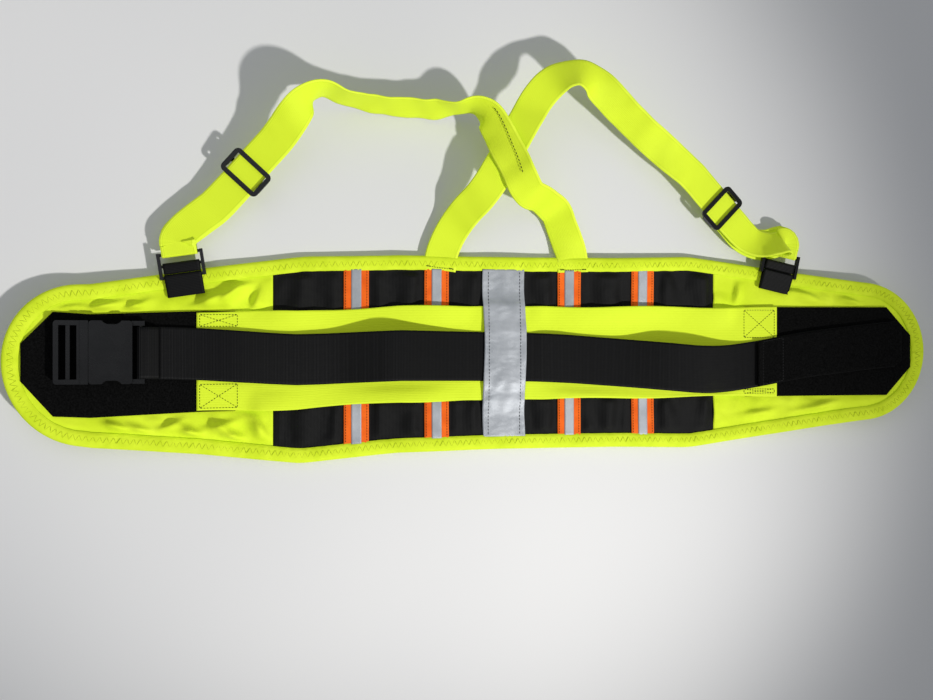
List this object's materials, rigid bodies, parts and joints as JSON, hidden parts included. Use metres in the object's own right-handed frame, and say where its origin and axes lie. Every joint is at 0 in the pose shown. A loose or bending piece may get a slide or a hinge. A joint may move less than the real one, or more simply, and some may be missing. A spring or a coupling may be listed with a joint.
{
  "type": "back support belt",
  "caption": "Hi-vis lumbar support belt with crossed suspenders, side-pull bands, reflective tapes and a side-release waist buckle, laid flat.",
  "frame": {"origin": "middle of the inner lining's underside, where the belt's back panel meets the wearer", "axes": "+X along the belt towards the webbing's sewn end, +Y towards the suspenders, +Z out of the belt's outer side"},
  "size_m": [0.9498, 0.4032, 0.0612],
  "materials": {
    "lining_fabric": "soft knitted mesh",
    "binding_tape": "woven tape, zigzag stitched",
    "wing_fabric": "matte plain-weave fabric, puckered",
    "panel_weave": "ribbed elastic weave",
    "foam": "closed-cell foam",
    "spring_steel": "brushed",
    "orange_tape": "woven tape, stitched edges",
    "reflective_tape": "silver glass-bead reflective tape",
    "elastic_band": "wide woven elastic",
    "hook_fabric": "hook-and-loop fabric",
    "black_webbing": "cross-ribbed polypropylene webbing",
    "moulded_plastic": "satin moulded acetal",
    "strap_webbing": "fine woven elastic webbing"
  },
  "bodies": {
    "belt": {"back_panel": "panel_weave", "center_reflective_strip": "reflective_tape", "closure_hook_patch": "hook_fabric", "edge_binding": "binding_tape", "foam_core": "foam", "hook_pad_left": "hook_fabric", "hook_pad_right": "hook_fabric", "inner_lining": "lining_fabric", "left_wing": "wing_fabric", "orange_tape_1": "orange_tape", "orange_tape_2": "orange_tape", "orange_tape_3": "orange_tape", "orange_tape_4": "orange_tape", "pull_tab_left": "hook_fabric", "pull_tab_right": "hook_fabric", "right_wing": "wing_fabric", "ring_tab_left": "black_webbing", "ring_tab_right": "black_webbing", "shoulder_strap_left": "strap_webbing", "shoulder_strap_right": "strap_webbing", "side_pull_left": "elastic_band", "side_pull_right": "elastic_band", "silver_stripe_1": "reflective_tape", "silver_stripe_2": "reflective_tape", "silver_stripe_3": "reflective_tape", "silver_stripe_4": "reflective_tape", "stay_1": "spring_steel", "stay_2": "spring_steel", "stay_3": "spring_steel", "stay_4": "spring_steel", "strap_return_left": "strap_webbing", "strap_return_right": "strap_webbing", "waist_webbing": "black_webbing", "webbing_end_tab": "black_webbing", "webbing_loop": "black_webbing"},
    "buckle_female": {"buckle_female": "moulded_plastic"},
    "buckle_male": {"buckle_male": "moulded_plastic"},
    "prong_upper": {"prong_upper": "moulded_plastic"},
    "prong_lower": {"prong_lower": "moulded_plastic"},
    "ring_left": {"ring_left": "moulded_plastic", "strap_end_left": "strap_webbing"},
    "ring_right": {"ring_right": "moulded_plastic", "strap_end_right": "strap_webbing"},
    "slider_left": {"slider_left": "moulded_plastic", "strap_loop_left": "strap_webbing"},
    "slider_right": {"slider_right": "moulded_plastic", "strap_loop_right": "strap_webbing"}
  },
  "joints": [
    {"name": "buckle_lift", "type": "hinge", "parent": "belt", "child": "buckle_female", "pos_m": [-0.354, 0.00081, 0.01904], "axis": [0, 1, 0], "range_deg": [0, 75]},
    {"name": "buckle_release", "type": "slide", "parent": "buckle_female", "child": "buckle_male", "axis": [-0.9951, 0, 0.0989], "range_m": [0, 0.045]},
    {"name": "prong_upper_squeeze", "type": "hinge", "parent": "buckle_male", "child": "prong_upper", "pos_m": [-0.39829, 0.02181, 0.02535], "axis": [-0.0989, 0, -0.9951], "range_deg": [0, 7], "stiffness_Nm_per_rad": 0.02},
    {"name": "prong_lower_squeeze", "type": "hinge", "parent": "buckle_male", "child": "prong_lower", "pos_m": [-0.39829, -0.0202, 0.02535], "axis": [0.0989, 0, 0.9951], "range_deg": [0, 7], "stiffness_Nm_per_rad": 0.02},
    {"name": "ring_tilt_left", "type": "hinge", "parent": "belt", "child": "ring_left", "pos_m": [-0.316, 0.07392, 0.01433], "axis": [0.9877, 0.1564, 0], "range_deg": [-5, 60], "deforming": ["strap_end_left", "shoulder_strap_left", "strap_return_left"]},
    {"name": "slider_adjust_left", "type": "slide", "parent": "belt", "child": "slider_left", "axis": [-0.6638, -0.728, -0.1713], "range_m": [-0.012, 0.008], "deforming": ["strap_loop_left", "shoulder_strap_left", "strap_return_left"]},
    {"name": "ring_tilt_right", "type": "hinge", "parent": "belt", "child": "ring_right", "pos_m": [0.304, 0.08544, 0.01365], "axis": [0.9781, -0.2079, 0], "range_deg": [-5, 60], "deforming": ["strap_end_right", "shoulder_strap_right", "strap_return_right"]},
    {"name": "slider_adjust_right", "type": "slide", "parent": "belt", "child": "slider_right", "axis": [0.7152, -0.6935, -0.0867], "range_m": [-0.012, 0.008], "deforming": ["strap_loop_right", "shoulder_strap_right", "strap_return_right"]}
  ],
  "couplings": [
    {"joint": "prong_lower_squeeze", "follows": "prong_upper_squeeze", "ratio": 1}
  ]
}
